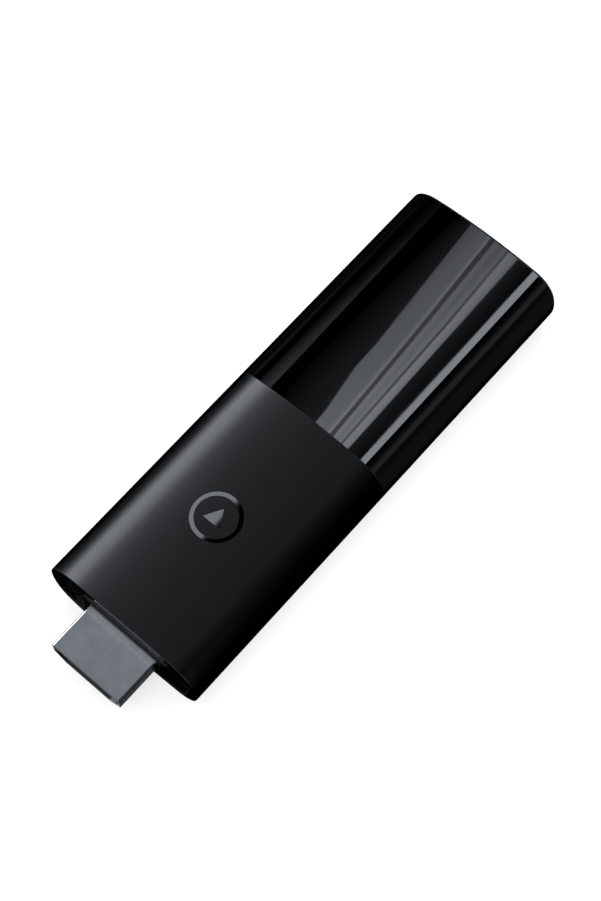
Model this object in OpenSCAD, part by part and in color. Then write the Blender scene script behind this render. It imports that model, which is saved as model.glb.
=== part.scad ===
// Streaming media player: a stick with a video plug at one end, built from its separate pieces.
// The stick lies on its broad face. X is across it, Y runs from the plug end to the far end, Z is up.
// The origin is the centre of the whole stick, plug included, on the surface that it lies on.

/* [Casing] */
// Width of the casing
body_w = 30; // [29:0.5:32]
// Thickness of the casing's oval, from crown to crown
body_t = 14.6; // [14.2:0.1:15.6]
// Length of the casing, without the plug
body_len = 86.7; // [84:0.1:90]
// Length of the matt sleeve
sleeve_len = 43.2; // [42:0.1:46]
// Wall thickness of the sleeve and the cap
wall = 1.4; // [1.2:0.1:1.6]
// Radius of the nearly flat sides
side_r = 9.6; // [9:0.1:10.5]
// Radius of the four shoulders
shoulder_r = 5; // [4.4:0.1:5.4]
// Half the angle that each side arc covers
side_angle = 20; // [15:1:24]
// Depth that the flat takes off the crown underneath
rest_flat = 0.1; // [0.05:0.05:0.2]

/* [Joint between the halves] */
// Length of the cap's lip inside the sleeve
lip_len = 3.4; // [2.5:0.1:4]
// Thickness of the lip
lip_t = 1; // [0.8:0.1:1.1]
// Clearance between pieces that slot together
slot_gap = 0.1; // [0.05:0.05:0.15]

/* [End plate] */
// Depth of the plate below the sleeve's rim
plate_depth = 0.9; // [0.6:0.1:1.5]
// Thickness of the plate
plate_t = 1.4; // [1:0.1:2]
// Width of the collar round the plug
collar_w = 17.8; // [17:0.1:18.6]
// Height of the collar
collar_h = 6.6; // [6.2:0.1:7]
// Distance of the collar's face behind the sleeve's rim
collar_depth = 0.1; // [0:0.1:0.4]

/* [Video plug] */
// Width of the plug's shell
plug_w = 13.9; // [13.85:0.05:13.95]
// Height of the plug's shell
plug_h = 4.45; // [4.4:0.05:4.5]
// Width of the shell's narrow side
plug_low_w = 9; // [8.8:0.1:10.2]
// Height of the shell's straight sides
plug_side_h = 2.9; // [2.6:0.1:3.1]
// Thickness of the shell's sheet
plug_sheet = 0.35; // [0.3:0.05:0.4]
// Distance that the plug stands out of the sleeve's rim
plug_len = 8.3; // [8:0.1:9]
// Distance of the plug's centre below the casing's centre
plug_drop = 1.37; // [1.2:0.01:1.5]

/* [Power socket] */
// Width of the socket's shell
socket_w = 7.5; // [7.4:0.1:7.6]
// Height of the socket's shell
socket_h = 2.5; // [2.4:0.1:2.6]
// Depth of the socket's shell
socket_depth = 5.5; // [5:0.1:6]
// Distance of the socket's centre from the sleeve's rim
socket_at = 28; // [27:0.5:29]

/* [Circuit board] */
// Width of the board
board_w = 24; // [23.6:0.1:24]
// Length of the board
board_len = 76.5; // [75:0.5:77]
// Thickness of the board
board_t = 1; // [0.8:0.1:1]
// Distance of the board's front edge from the sleeve's rim
board_at = 5.6; // [5.6:0.1:6]

/* [Emblem] */
// Outer diameter of the emblem's ring
emblem_d = 8.4; // [7:0.1:9]
// Depth of the inlay
emblem_t = 0.3; // [0.2:0.1:0.4]

/* [Hidden] */
$fn = 64;

// Place of the working frame (middle of the sleeve's rim) in the part's own frame.
rim_y = -(body_len - plug_len) / 2;
mid_z = body_t / 2 - rest_flat;

// The casing's oval: centres and angles of its arcs.
half_w = body_w / 2;
half_t = body_t / 2;
side_cx = half_w - side_r;
shoulder_cx = side_cx + (side_r - shoulder_r) * cos(side_angle);
shoulder_cz = (side_r - shoulder_r) * sin(side_angle);
shoulder_drop = half_t - shoulder_cz;
crown_r = (pow(shoulder_cx, 2) + pow(shoulder_drop, 2) - pow(shoulder_r, 2))
    / (2 * (shoulder_drop - shoulder_r));
crown_cz = half_t - crown_r;
crown_angle = atan2(shoulder_cz - crown_cz, shoulder_cx);
// The shoulders stand out by this much, so that neighbouring arcs cross instead of only touching.
blend = 0.003;

// Small steps that round the rims.
rim_step = 0.2;
end_step = 0.25;
end_wall = 1.6;

// Carrier halves.
carrier_out = wall + slot_gap + lip_t + 0.2;
carrier_t = 0.8;
carrier_from = plate_depth + plate_t + 0.9;
carrier_to = body_len - end_wall - 1.5;
screw_x = 9.5;
screw_ys = [12.5, 72];

// Levels of the board.
board_top = -plug_drop + board_t / 2;
board_low = -plug_drop - board_t / 2;

// Video plug: a slot for the socket's tongue, and 19 contacts at half-millimetre steps.
plug_back = board_at - 0.9;
tab_x = (plug_w - plug_sheet) / 2;
plug_slot_w = 11.2;
plug_slot_h = 1.9;
plug_slot_len = 7.2;
contact_w = 0.3;
contact_t = 0.2;
contact_pitch = 1;
contacts_up = 10;
contacts_low = 9;
collar_r = 1.6;
collar_bevel = 0.4;

// Power socket and light guide in the side wall.
socket_mouth_x = -(half_w - 1.1);
socket_z = board_top + socket_h / 2;
socket_sheet = 0.25;
tongue_base = 1.6;
window_w = 8.6;
window_h = 3.4;
guide_at = 19.5;
guide_r = 0.6;
guide_z = board_top + 0.75;
led_x = -10.9;
led_size = [0.8, 1.6, 1.2];

// Chips: [x, y, size].
shield_x = 1.2;
shield_from = 19.5;
shield_len = 34;
shield_w = 18;
chip_at = [shield_x, 29];
chip_size = [14, 14, 1.1];
memory_at = [4.4, 45.5];
memory_size = [8, 12, 1];
shield_h = 1.9;
shield_sheet = 0.2;
pad_t = shield_h - chip_size[2] - shield_sheet;
lid_pad_t = 0.9;
spreader_t = 0.9;
spreader_size = [17.6, 44];
spreader_from = 15.5;
lower_pad_t = 0.4;
emblem_at = sleeve_len / 2;
emblem_fn = 96;

// ---------- Shared shapes ----------

// Moves from the working frame to the part's frame.
module in_place() {
    translate([0, rim_y, mid_z]) children();
}

// Extrudes a section that is drawn in X and Z, from one Y to another.
module along_y(from, to) {
    translate([0, from, 0]) mirror([0, 1, 0]) rotate([90, 0, 0]) linear_extrude(to - from) children();
}

// The casing's oval section, made smaller all round by `inset`.
module oval(inset = 0) {
    for (s = [-1, 1], t = [-1, 1])
        translate([s * shoulder_cx, t * shoulder_cz]) circle(r = shoulder_r - inset + blend);
    for (s = [-1, 1])
        intersection() {
            translate([s * side_cx, 0]) circle(r = side_r - inset, $fn = 180);
            translate([s * half_w / 2, 0])
                square([half_w, 2 * (side_r - inset) * sin(side_angle)], center = true);
        }
    for (t = [-1, 1])
        intersection() {
            translate([0, t * crown_cz]) circle(r = crown_r - inset, $fn = 720);
            translate([0, t * half_t / 2])
                square([2 * (shoulder_cx + (shoulder_r - inset) * cos(crown_angle)), half_t], center = true);
        }
}

// Takes the resting flat off anything that reaches the underside.
module with_flat() {
    difference() {
        children();
        translate([0, body_len / 2, -half_t - 5 + rest_flat]) cube([body_w, body_len + 2, 10], center = true);
    }
}

// A rectangle with round corners, in two dimensions.
module round_rect(w, h, r) {
    square([w - 2 * r, h], center = true);
    square([w, h - 2 * r], center = true);
    for (s = [-1, 1], t = [-1, 1]) translate([s * (w / 2 - r), t * (h / 2 - r)]) circle(r = r);
}

// A block on the board's upper face: centre in X and Y, and size.
module on_board(at, size) {
    translate([at[0] - size[0] / 2, at[1] - size[1] / 2, board_top]) cube(size);
}

// The plug's section: wide side up, lower corners cut off, made smaller all round by `inset`.
module plug_section(inset = 0) {
    slope = atan2(plug_h - plug_side_h, (plug_w - plug_low_w) / 2);
    w = plug_w / 2 - inset;
    low_w = plug_low_w / 2 - inset * (1 - cos(slope)) / sin(slope);
    top = plug_h / 2 - inset;
    knee = plug_h / 2 - plug_side_h + inset * (1 - sin(slope)) / cos(slope);
    translate([0, -plug_drop])
        polygon([[-w, top], [w, top], [w, knee], [low_w, -top], [-low_w, -top], [-w, knee]]);
}

// ---------- Casing ----------

module emblem_shape() {
    ring_w = 0.75;
    tri_r = emblem_d * 0.24;
    difference() {
        circle(d = emblem_d, $fn = emblem_fn);
        circle(d = emblem_d - 2 * ring_w, $fn = emblem_fn);
    }
    rotate(90) translate([-tri_r * 0.1, 0]) circle(r = tri_r, $fn = 3);
}

// The inlay follows the crown, so it is a slice of the casing's skin.
module emblem_body() {
    difference() {
        intersection() {
            along_y(emblem_at - emblem_d, emblem_at + emblem_d) oval();
            translate([0, emblem_at, half_t - 2]) linear_extrude(4) emblem_shape();
        }
        along_y(emblem_at - emblem_d - 1, emblem_at + emblem_d + 1) oval(emblem_t);
    }
}

module front_sleeve() {
    color([0.13, 0.13, 0.14]) in_place() with_flat() difference() {
        union() {
            along_y(0, rim_step) oval(rim_step / 2);
            along_y(rim_step, sleeve_len) oval();
        }
        along_y(-1, sleeve_len + 1) oval(wall);
        emblem_body();
        translate([-half_w, socket_at, socket_z]) rotate([0, 90, 0]) rotate(90)
            linear_extrude(6, center = true) round_rect(window_w, window_h, 1);
        translate([-half_w, guide_at, guide_z]) rotate([0, 90, 0]) cylinder(r = guide_r, h = 6, center = true);
    }
}

module rear_cap() {
    color([0.02, 0.02, 0.02]) in_place() with_flat() difference() {
        union() {
            along_y(sleeve_len - lip_len, sleeve_len + 0.5) oval(wall + slot_gap);
            along_y(sleeve_len, sleeve_len + rim_step) oval(rim_step / 2);
            along_y(sleeve_len + rim_step, body_len - 2 * end_step) oval();
            along_y(body_len - 2 * end_step, body_len - end_step) oval(end_step / 3);
            along_y(body_len - end_step, body_len) oval(end_step);
        }
        along_y(sleeve_len - lip_len - 1, sleeve_len + 1.5) oval(wall + slot_gap + lip_t);
        along_y(sleeve_len + 1.5, body_len - end_wall) oval(wall);
    }
}

module end_plate() {
    lug = [3, 1.2, 0.9];
    lug_x = 8.6;
    lug_z = 1.9;
    color([0.03, 0.03, 0.03]) in_place() difference() {
        union() {
            along_y(plate_depth, plate_depth + plate_t) oval(wall + slot_gap / 2);
            along_y(collar_depth + collar_bevel, plate_depth)
                translate([0, -plug_drop]) round_rect(collar_w, collar_h, collar_r);
            along_y(collar_depth, collar_depth + collar_bevel)
                translate([0, -plug_drop])
                    round_rect(collar_w - collar_bevel, collar_h - collar_bevel, collar_r - collar_bevel / 2);
            for (s = [-1, 1], t = [-1, 1])
                translate([s * lug_x - lug[0] / 2, plate_depth + plate_t, t > 0 ? lug_z : -lug_z - lug[2]])
                    cube(lug);
        }
        along_y(-1, plate_depth + plate_t + 2) plug_section(-slot_gap);
    }
}

module emblem_inlay() {
    color([0.3, 0.31, 0.32]) in_place() emblem_body();
}

// ---------- Video plug ----------

module plug_shell() {
    latch = [1.6, 1.9];
    latch_x = 3.2;
    color([0.6, 0.61, 0.62]) in_place() {
        difference() {
            along_y(-plug_len, plug_back) plug_section();
            along_y(-plug_len - 1, plug_back + 1) plug_section(plug_sheet);
            // Two windows in the narrow side, for the socket's springs
            for (s = [-1, 1])
                translate([s * latch_x - latch[0] / 2, -plug_len + 3.1, -plug_drop - plug_h])
                    cube([latch[0], latch[1], plug_h]);
        }
        // Side tabs that are soldered into the board's notches
        for (s = [-1, 1])
            translate([s * tab_x - plug_sheet / 2, plug_back - 1, board_low])
                cube([plug_sheet, board_at - plug_back + 2.2, board_t]);
    }
}

module plug_insulator() {
    front = -plug_len + 0.5;
    color([0.05, 0.05, 0.05]) in_place() difference() {
        along_y(front, plug_back + 0.5) plug_section(plug_sheet + 0.02);
        translate([-plug_slot_w / 2, front - 1, -plug_drop + 0.25 - plug_slot_h / 2])
            cube([plug_slot_w, plug_slot_len + 1, plug_slot_h]);
        // Grooves that hold the contacts
        for (i = [0 : contacts_up - 1]) plug_groove((i - (contacts_up - 1) / 2) * contact_pitch, 1);
        for (i = [0 : contacts_low - 1]) plug_groove((i - (contacts_low - 1) / 2) * contact_pitch, -1);
    }
}

// Height of one side of the plug's slot: `side` is 1 for the upper side and -1 for the lower one.
function slot_face(side) = -plug_drop + 0.25 + side * plug_slot_h / 2;

module plug_groove(x, side) {
    z = slot_face(side);
    translate([x - contact_w / 2, -plug_len + 0.9, side > 0 ? z : z - contact_t])
        cube([contact_w, plug_len + plug_back, contact_t]);
}

// One contact: a blade in its groove, and a foot that comes down to the board.
module plug_contact(x, side) {
    z = slot_face(side);
    foot_z = side > 0 ? board_top : board_low - contact_t;
    foot_from = plug_back + 0.5;
    low = min(foot_z, side > 0 ? z : z - contact_t);
    high = max(foot_z, side > 0 ? z : z - contact_t) + contact_t;
    translate([x - contact_w / 2, -plug_len + 0.9, side > 0 ? z : z - contact_t])
        cube([contact_w, plug_len - 0.9 + foot_from + contact_t, contact_t]);
    translate([x - contact_w / 2, foot_from, low]) cube([contact_w, contact_t, high - low]);
    translate([x - contact_w / 2, foot_from, foot_z]) cube([contact_w, 2.2, contact_t]);
}

module plug_contacts() {
    color([0.83, 0.66, 0.3]) in_place() {
        for (i = [0 : contacts_up - 1]) plug_contact((i - (contacts_up - 1) / 2) * contact_pitch, 1);
        for (i = [0 : contacts_low - 1]) plug_contact((i - (contacts_low - 1) / 2) * contact_pitch, -1);
    }
}

// ---------- Power socket and status light ----------

// The socket's section, in Y and Z, wide side down, made smaller all round by `inset`.
module socket_section(inset = 0) {
    w = socket_w / 2 - inset;
    h = socket_h / 2 - inset;
    cut = 0.9;
    polygon([[-w, -h], [w, -h], [w, h - cut], [w - cut, h], [-w + cut, h], [-w, h - cut]]);
}

// Extrudes a section that is drawn in Y and Z, from one X to another, at the socket.
module into_socket(from, to) {
    translate([from, socket_at, socket_z]) rotate([90, 0, 90]) linear_extrude(to - from) children();
}

module socket_shell() {
    back = socket_mouth_x + socket_depth;
    color([0.62, 0.62, 0.63]) in_place() difference() {
        into_socket(socket_mouth_x, back) socket_section();
        into_socket(socket_mouth_x - 1, back - socket_sheet) socket_section(socket_sheet);
        into_socket(back - 1, back + 1) translate([0, -0.5]) square([4.2, 1], center = true);
    }
}

module socket_tongue() {
    back = socket_mouth_x + socket_depth;
    color([0.05, 0.05, 0.05]) in_place() {
        into_socket(socket_mouth_x + 0.6, back - socket_sheet) square([3.8, 0.7], center = true);
        into_socket(back - tongue_base, back - socket_sheet)
            translate([0, -0.1]) square([6, 1.3], center = true);
    }
}

module socket_contacts() {
    back = socket_mouth_x + socket_depth;
    riser = back - tongue_base;
    color([0.83, 0.66, 0.3]) in_place() for (i = [-2 : 2]) {
        socket_strip(i, socket_mouth_x + 0.8, riser, -0.5, -0.35);
        socket_strip(i, riser - 0.15, riser, -0.95, -0.35);
        socket_strip(i, riser - 0.15, back + 0.3, -0.95, -0.75);
        socket_strip(i, back + 0.05, back + 0.3, -socket_h / 2, -0.75);
    }
}

// A piece of the contact with number `i`, between two distances in X and two levels.
module socket_strip(i, from, to, low, high) {
    pitch = 0.65;
    strip_w = 0.3;
    into_socket(from, to) translate([i * pitch - strip_w / 2, low]) square([strip_w, high - low]);
}

module light_guide() {
    color([0.85, 0.87, 0.9]) in_place() intersection() {
        translate([-half_w - 1, guide_at, guide_z]) rotate([0, 90, 0])
            cylinder(r = guide_r - slot_gap / 2, h = half_w + 1 + led_x - led_size[0] / 2 - 0.2);
        along_y(guide_at - 2, guide_at + 2) oval(0.05);
    }
}

module status_led() {
    color([0.95, 0.93, 0.85]) in_place() on_board([led_x, guide_at], led_size);
}

// ---------- Carrier ----------

// Ring of the carrier, from one level to another.
module carrier_ring(low, high) {
    intersection() {
        difference() {
            along_y(carrier_from, carrier_to) oval(carrier_out);
            along_y(carrier_from - 1, carrier_to + 1) oval(carrier_out + carrier_t);
        }
        translate([-half_w, 0, low]) cube([body_w, body_len, high - low]);
    }
}

// A rib across the carrier, from one level to another.
module carrier_rib(y, low, high) {
    intersection() {
        along_y(y, y + 1) oval(carrier_out + carrier_t / 2);
        translate([-half_w, 0, low]) cube([body_w, body_len, high - low]);
    }
}

module at_screws() {
    for (s = [-1, 1], y = screw_ys) translate([s * screw_x, y, 0]) children();
}

module lower_carrier() {
    color([0.16, 0.16, 0.17]) in_place() difference() {
        union() {
            carrier_ring(-half_t, board_low);
            for (y = [10, 63, 75]) carrier_rib(y, -half_t, board_low);
            intersection() {
                at_screws() translate([0, 0, -half_t]) cylinder(r = 1.7, h = half_t + board_low);
                along_y(0, body_len) oval(carrier_out + carrier_t / 2);
            }
        }
        at_screws() translate([0, 0, -3.7]) cylinder(r = 0.8, h = 3);
        // Room for the plug's contact feet
        translate([-7, 0, board_low - 0.7]) cube([14, 11.5, 1]);
    }
}

module upper_carrier() {
    vent_w = 1.2;
    color([0.16, 0.16, 0.17]) in_place() difference() {
        union() {
            carrier_ring(board_top, half_t);
            for (y = [10, 75]) carrier_rib(y, 1.5, half_t);
            intersection() {
                at_screws() translate([0, 0, board_top]) cylinder(r = 1.9, h = half_t);
                along_y(0, body_len) oval(carrier_out + carrier_t / 2);
            }
        }
        at_screws() translate([0, 0, board_top - 1]) cylinder(r = 0.85, h = 10);
        at_screws() translate([0, 0, 2.4]) cylinder(r = 1.5, h = 6);
        // Notches for the power socket and the light guide
        translate([-half_w, socket_at - window_w / 2, board_top - 0.5]) cube([7, window_w, socket_h + 1]);
        translate([-half_w, guide_at - 1, board_top - 0.5]) cube([6, 2, socket_h + 1]);
        // Slots over the heat spreader
        for (i = [0 : 8])
            translate([-6, 20 + i * 4, 2]) cube([12, vent_w, half_t]);
    }
}

module board_screws() {
    color([0.55, 0.56, 0.58]) in_place() at_screws() difference() {
        union() {
            translate([0, 0, -3.6]) cylinder(r = 0.78, h = 6);
            translate([0, 0, 2.4]) cylinder(r = 1.4, h = 0.8);
        }
        for (a = [0, 90]) rotate(a) translate([-0.85, -0.15, 2.8]) cube([1.7, 0.3, 1]);
    }
}

// ---------- Board and what is on it ----------

module main_board() {
    notch = [0.8, 2.4, 3];
    color([0.05, 0.22, 0.16]) in_place() difference() {
        translate([-board_w / 2, board_at, board_low]) cube([board_w, board_len, board_t]);
        at_screws() translate([0, 0, board_low - 1]) cylinder(r = 0.9, h = 3);
        for (s = [-1, 1])
            translate([s * tab_x - notch[0] / 2, board_at - 1, board_low - 1]) cube(notch);
    }
}

module processor() {
    die = [9, 9, 0.4];
    color([0.09, 0.09, 0.1]) in_place() {
        on_board(chip_at, [chip_size[0], chip_size[1], chip_size[2] - die[2]]);
        translate([0, 0, chip_size[2] - die[2]]) on_board(chip_at, die);
    }
}

module memory_chips() {
    color([0.1, 0.1, 0.11]) in_place()
        for (s = [-1, 1]) on_board([shield_x + s * memory_at[0], memory_at[1]], memory_size);
}

module flash_chip() {
    color([0.1, 0.1, 0.11]) in_place() on_board([-5.6, 62], [11.5, 9, 1]);
}

module wireless_module() {
    size = [10, 11, 1.6];
    base = 0.5;
    color([0.7, 0.71, 0.72]) in_place() {
        on_board([6, 62], [size[0], size[1], base]);
        translate([0, 0, base]) on_board([6, 62], [size[0] - 0.8, size[1] - 0.8, size[2] - base]);
    }
}

module power_chip() {
    color([0.1, 0.1, 0.11]) in_place() on_board([3.5, 13.2], [4, 4, 0.9]);
}

module crystal() {
    color([0.75, 0.72, 0.62]) in_place() {
        on_board([-4.6, 13.8], [3.2, 2.5, 0.3]);
        translate([0, 0, 0.3]) on_board([-4.6, 13.8], [2.8, 2.1, 0.5]);
    }
}

module inductors() {
    size = [2.5, 2.5, 1.2];
    color([0.25, 0.25, 0.26]) in_place()
        for (i = [0 : 2]) on_board([-6 + i * 3.6, 16.7], size);
}

// A row of chip parts: first centre, step, count and size.
module chip_row(at, step, count, size) {
    for (i = [0 : count - 1]) on_board([at[0] + i * step[0], at[1] + i * step[1]], size);
}

module capacitors() {
    size = [0.8, 1.6, 0.8];
    color([0.62, 0.5, 0.36]) in_place() {
        chip_row([shield_x - 7.5, 37.8], [1.5, 0], 11, size);
        chip_row([-6.5, 70.5], [2.2, 0], 7, size);
        chip_row([10.95, 24], [0, 3], 9, size);
    }
}

module resistors() {
    size = [0.5, 1, 0.35];
    color([0.08, 0.08, 0.09]) in_place() {
        chip_row([-6, 9.4], [1.2, 0], 11, size);
        for (s = [-1, 1]) chip_row([shield_x + s * 7.8, 21.6], [0, 1.5], 10, size);
    }
}

// ---------- Shield and heat path ----------

module shield_frame() {
    inner_w = shield_w - 2 * shield_sheet;
    inner_len = shield_len - 2 * shield_sheet;
    color([0.72, 0.72, 0.7]) in_place() difference() {
        on_board([shield_x, shield_from + shield_len / 2], [shield_w, shield_len, shield_h - shield_sheet]);
        translate([shield_x - inner_w / 2, shield_from + shield_sheet, board_top - 1])
            cube([inner_w, inner_len, shield_h - 2 * shield_sheet + 1]);
        // Two windows, with a bar between them
        for (y = [shield_from + 2, shield_from + shield_len / 2 + 1.5])
            translate([shield_x - inner_w / 2 + 1.2, y, board_top])
                cube([inner_w - 2.4, shield_len / 2 - 3.5, shield_h]);
    }
}

module shield_lid() {
    skirt = 1.1;
    w = shield_w + 2 * shield_sheet;
    len = shield_len + 2 * shield_sheet;
    color([0.78, 0.78, 0.77]) in_place() difference() {
        translate([shield_x - w / 2, shield_from - shield_sheet, board_top + shield_h - shield_sheet - skirt])
            cube([w, len, skirt + shield_sheet]);
        translate([shield_x - shield_w / 2, shield_from, board_top + shield_h - shield_sheet - skirt - 1])
            cube([shield_w, shield_len, skirt + 1]);
        // Relief cuts in the skirt
        for (i = [0 : 4])
            translate([shield_x - w, shield_from + 4 + i * 6, board_top])
                cube([2 * w, 0.5, shield_h - 2 * shield_sheet]);
    }
}

module chip_pad() {
    color([0.55, 0.62, 0.7]) in_place() translate([0, 0, chip_size[2]])
        on_board(chip_at, [9, 9, pad_t]);
}

module lid_pad() {
    color([0.6, 0.66, 0.74]) in_place() translate([0, 0, shield_h])
        on_board([shield_x, shield_from + shield_len / 2], [14, 28, lid_pad_t]);
}

module lower_pad() {
    color([0.6, 0.66, 0.74]) in_place()
        translate([-7, shield_from + 3, board_low - lower_pad_t]) cube([14, 28, lower_pad_t]);
}

// A flat plate with two shallow grooves pressed into one face.
module spreader(z, groove_z) {
    groove = [1.2, spreader_size[1] - 8, 0.3];
    translate([0, 0, z]) difference() {
        translate([-spreader_size[0] / 2, spreader_from, 0])
            cube([spreader_size[0], spreader_size[1], spreader_t]);
        for (s = [-1, 1])
            translate([s * 5.5 - groove[0] / 2, spreader_from + 4, groove_z]) cube(groove);
    }
}

module upper_spreader() {
    color([0.74, 0.75, 0.77]) in_place()
        spreader(board_top + shield_h + lid_pad_t, spreader_t - 0.2);
}

module lower_spreader() {
    color([0.74, 0.75, 0.77]) in_place() spreader(board_low - lower_pad_t - spreader_t, -0.1);
}

// A stamped antenna: two legs and a folded top strip.
module antenna(x, y, w, leg) {
    sheet = 0.25;
    translate([x, y, board_top]) {
        cube([w, 2, sheet]);
        cube([w, sheet, leg]);
        translate([0, 0, leg - sheet]) cube([w, 3.4, sheet]);
        translate([0, 3.4 - sheet, leg - 1.2]) cube([w * 0.45, sheet, 1.2]);
    }
}

module wifi_antenna() {
    color([0.8, 0.72, 0.45]) in_place() antenna(-7.5, 77.4, 8, 2.8);
}

module remote_antenna() {
    color([0.8, 0.72, 0.45]) in_place() antenna(2.4, 77.4, 5.4, 2.4);
}

front_sleeve();
rear_cap();
end_plate();
emblem_inlay();
plug_shell();
plug_insulator();
plug_contacts();
socket_shell();
socket_tongue();
socket_contacts();
light_guide();
status_led();
lower_carrier();
upper_carrier();
board_screws();
main_board();
processor();
memory_chips();
flash_chip();
wireless_module();
power_chip();
crystal();
inductors();
capacitors();
resistors();
shield_frame();
shield_lid();
chip_pad();
lid_pad();
lower_pad();
upper_spreader();
lower_spreader();
wifi_antenna();
remote_antenna();
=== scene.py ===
import math

import bmesh
import bpy
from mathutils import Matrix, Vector

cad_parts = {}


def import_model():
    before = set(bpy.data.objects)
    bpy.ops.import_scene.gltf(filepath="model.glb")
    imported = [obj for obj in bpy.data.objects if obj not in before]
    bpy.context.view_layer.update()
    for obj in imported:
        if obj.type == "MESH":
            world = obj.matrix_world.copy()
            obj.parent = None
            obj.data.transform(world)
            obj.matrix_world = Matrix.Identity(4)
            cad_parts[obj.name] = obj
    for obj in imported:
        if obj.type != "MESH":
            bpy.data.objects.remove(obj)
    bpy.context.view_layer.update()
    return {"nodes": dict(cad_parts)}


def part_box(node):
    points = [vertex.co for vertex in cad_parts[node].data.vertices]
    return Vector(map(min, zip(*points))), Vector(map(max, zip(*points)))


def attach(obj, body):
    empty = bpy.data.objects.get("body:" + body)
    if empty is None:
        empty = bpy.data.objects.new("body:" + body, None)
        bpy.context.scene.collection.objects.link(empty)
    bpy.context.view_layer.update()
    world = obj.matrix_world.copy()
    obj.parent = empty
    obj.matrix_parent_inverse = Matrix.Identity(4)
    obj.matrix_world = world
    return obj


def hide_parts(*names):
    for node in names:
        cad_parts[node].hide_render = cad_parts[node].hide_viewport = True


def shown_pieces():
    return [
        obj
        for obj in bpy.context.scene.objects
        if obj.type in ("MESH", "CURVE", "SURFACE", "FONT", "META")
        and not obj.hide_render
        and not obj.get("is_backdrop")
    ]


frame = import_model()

# Looks of a streaming media player: a stick whose front half is matt and whose rear half is piano
# black. The shells that show are rebuilt here as fine meshes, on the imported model's own sections,
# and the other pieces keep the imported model's shapes. Sizes are in metres. X is across the stick,
# Y runs from the plug to the far end, and Z is up.

MM = 0.001

# ---------- The casing's sizes ----------

SLEEVE_LOW, SLEEVE_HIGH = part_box("front_sleeve")
CAP_LOW, CAP_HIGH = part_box("rear_cap")
PLATE_LOW, PLATE_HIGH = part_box("end_plate")
PLUG_LOW, PLUG_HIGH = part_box("plug_shell")
SOCKET_LOW, SOCKET_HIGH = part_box("socket_shell")
GUIDE_LOW, GUIDE_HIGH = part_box("light_guide")
EMBLEM_LOW, EMBLEM_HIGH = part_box("emblem_inlay")

# Depth that the resting flat takes off the crown underneath, the casing's wall, and the clearance
# between pieces that slot together.
REST_FLAT = 0.1 * MM
WALL = 1.4 * MM
SLOT_GAP = 0.1 * MM

HALF_W = SLEEVE_HIGH.x
HALF_T = (SLEEVE_HIGH.z + REST_FLAT) / 2
MID_Z = HALF_T - REST_FLAT
RIM_Y, SEAM_Y, END_Y = SLEEVE_LOW.y, SLEEVE_HIGH.y, CAP_HIGH.y

# One quarter of the casing's oval: the nearly flat side, the shoulder and the crown. Each arc is
# (centre x, centre z, radius, first angle, last angle), and the arcs meet without a kink.
SIDE_R = 9.6 * MM
SHOULDER_R = 5.0 * MM
SIDE_ANGLE = math.radians(20)
SIDE_CX = HALF_W - SIDE_R
SHOULDER_CX = SIDE_CX + (SIDE_R - SHOULDER_R) * math.cos(SIDE_ANGLE)
SHOULDER_CZ = (SIDE_R - SHOULDER_R) * math.sin(SIDE_ANGLE)
SHOULDER_DROP = HALF_T - SHOULDER_CZ
CROWN_R = (SHOULDER_CX ** 2 + SHOULDER_DROP ** 2 - SHOULDER_R ** 2) / (2 * (SHOULDER_DROP - SHOULDER_R))
CROWN_CZ = HALF_T - CROWN_R
CROWN_ANGLE = math.atan2(SHOULDER_CZ - CROWN_CZ, SHOULDER_CX)
SIDE_ARC = (SIDE_CX, 0, SIDE_R, -SIDE_ANGLE, SIDE_ANGLE)
SHOULDER_ARC = (SHOULDER_CX, SHOULDER_CZ, SHOULDER_R, SIDE_ANGLE, CROWN_ANGLE)
CROWN_ARC = (0, CROWN_CZ, CROWN_R, CROWN_ANGLE, math.pi - CROWN_ANGLE)
SIDE_STEPS, SHOULDER_STEPS, CROWN_STEPS = 24, 36, 40


# ---------- Outlines ----------

def arc(cx, cz, r, start, end, steps):
    """Points on an arc, without its last one."""
    angles = (start + (end - start) * k / steps for k in range(steps))
    return [(cx + r * math.cos(a), cz + r * math.sin(a)) for a in angles]


def oval(inset):
    """The casing's section as (x, z) about its centre, made smaller all round by inset, and cut off
    at the floor."""
    def part(arc_of, steps):
        cx, cz, r, start, end = arc_of
        return arc(cx, cz, r - inset, start, end, steps)

    quarter = part(SHOULDER_ARC, SHOULDER_STEPS)
    crown = part(CROWN_ARC, CROWN_STEPS)
    side = part(SIDE_ARC, SIDE_STEPS)
    shoulder_end = crown[0]
    back = [(-x, z) for x, z in reversed(quarter[1:] + [shoulder_end])]
    half = side + quarter + crown + back
    ring = half + [(-x, -z) for x, z in half]
    return [(x, max(z, -MID_Z)) for x, z in ring]


def rounded(corners, steps=6, hold=0.0, closed=True):
    """An outline through corners (a, b, radius), with each corner rounded. hold adds a point beside
    each end of an arc, which keeps the flat next to it flat."""
    outline = []
    for k, (a, b, r) in enumerate(corners):
        here = Vector((a, b))
        if r == 0 or (not closed and k in (0, len(corners) - 1)):
            outline.append(here)
            continue
        before = (here - Vector(corners[k - 1][:2])).normalized()
        after = (Vector(corners[(k + 1) % len(corners)][:2]) - here).normalized()
        turn = math.atan2(before.x * after.y - before.y * after.x, before.dot(after))
        first = here - before * r * math.tan(abs(turn) / 2)
        inward = Vector((-before.y, before.x)) * math.copysign(1, turn)
        centre = first + inward * r
        if hold:
            outline.append(first - before * hold)
        for i in range(steps + 1):
            c, s = math.cos(turn * i / steps), math.sin(turn * i / steps)
            d = first - centre
            outline.append(centre + Vector((d.x * c - d.y * s, d.x * s + d.y * c)))
        if hold:
            outline.append(outline[-1] + after * hold)
    return [(p.x, p.y) for p in outline]


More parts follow.
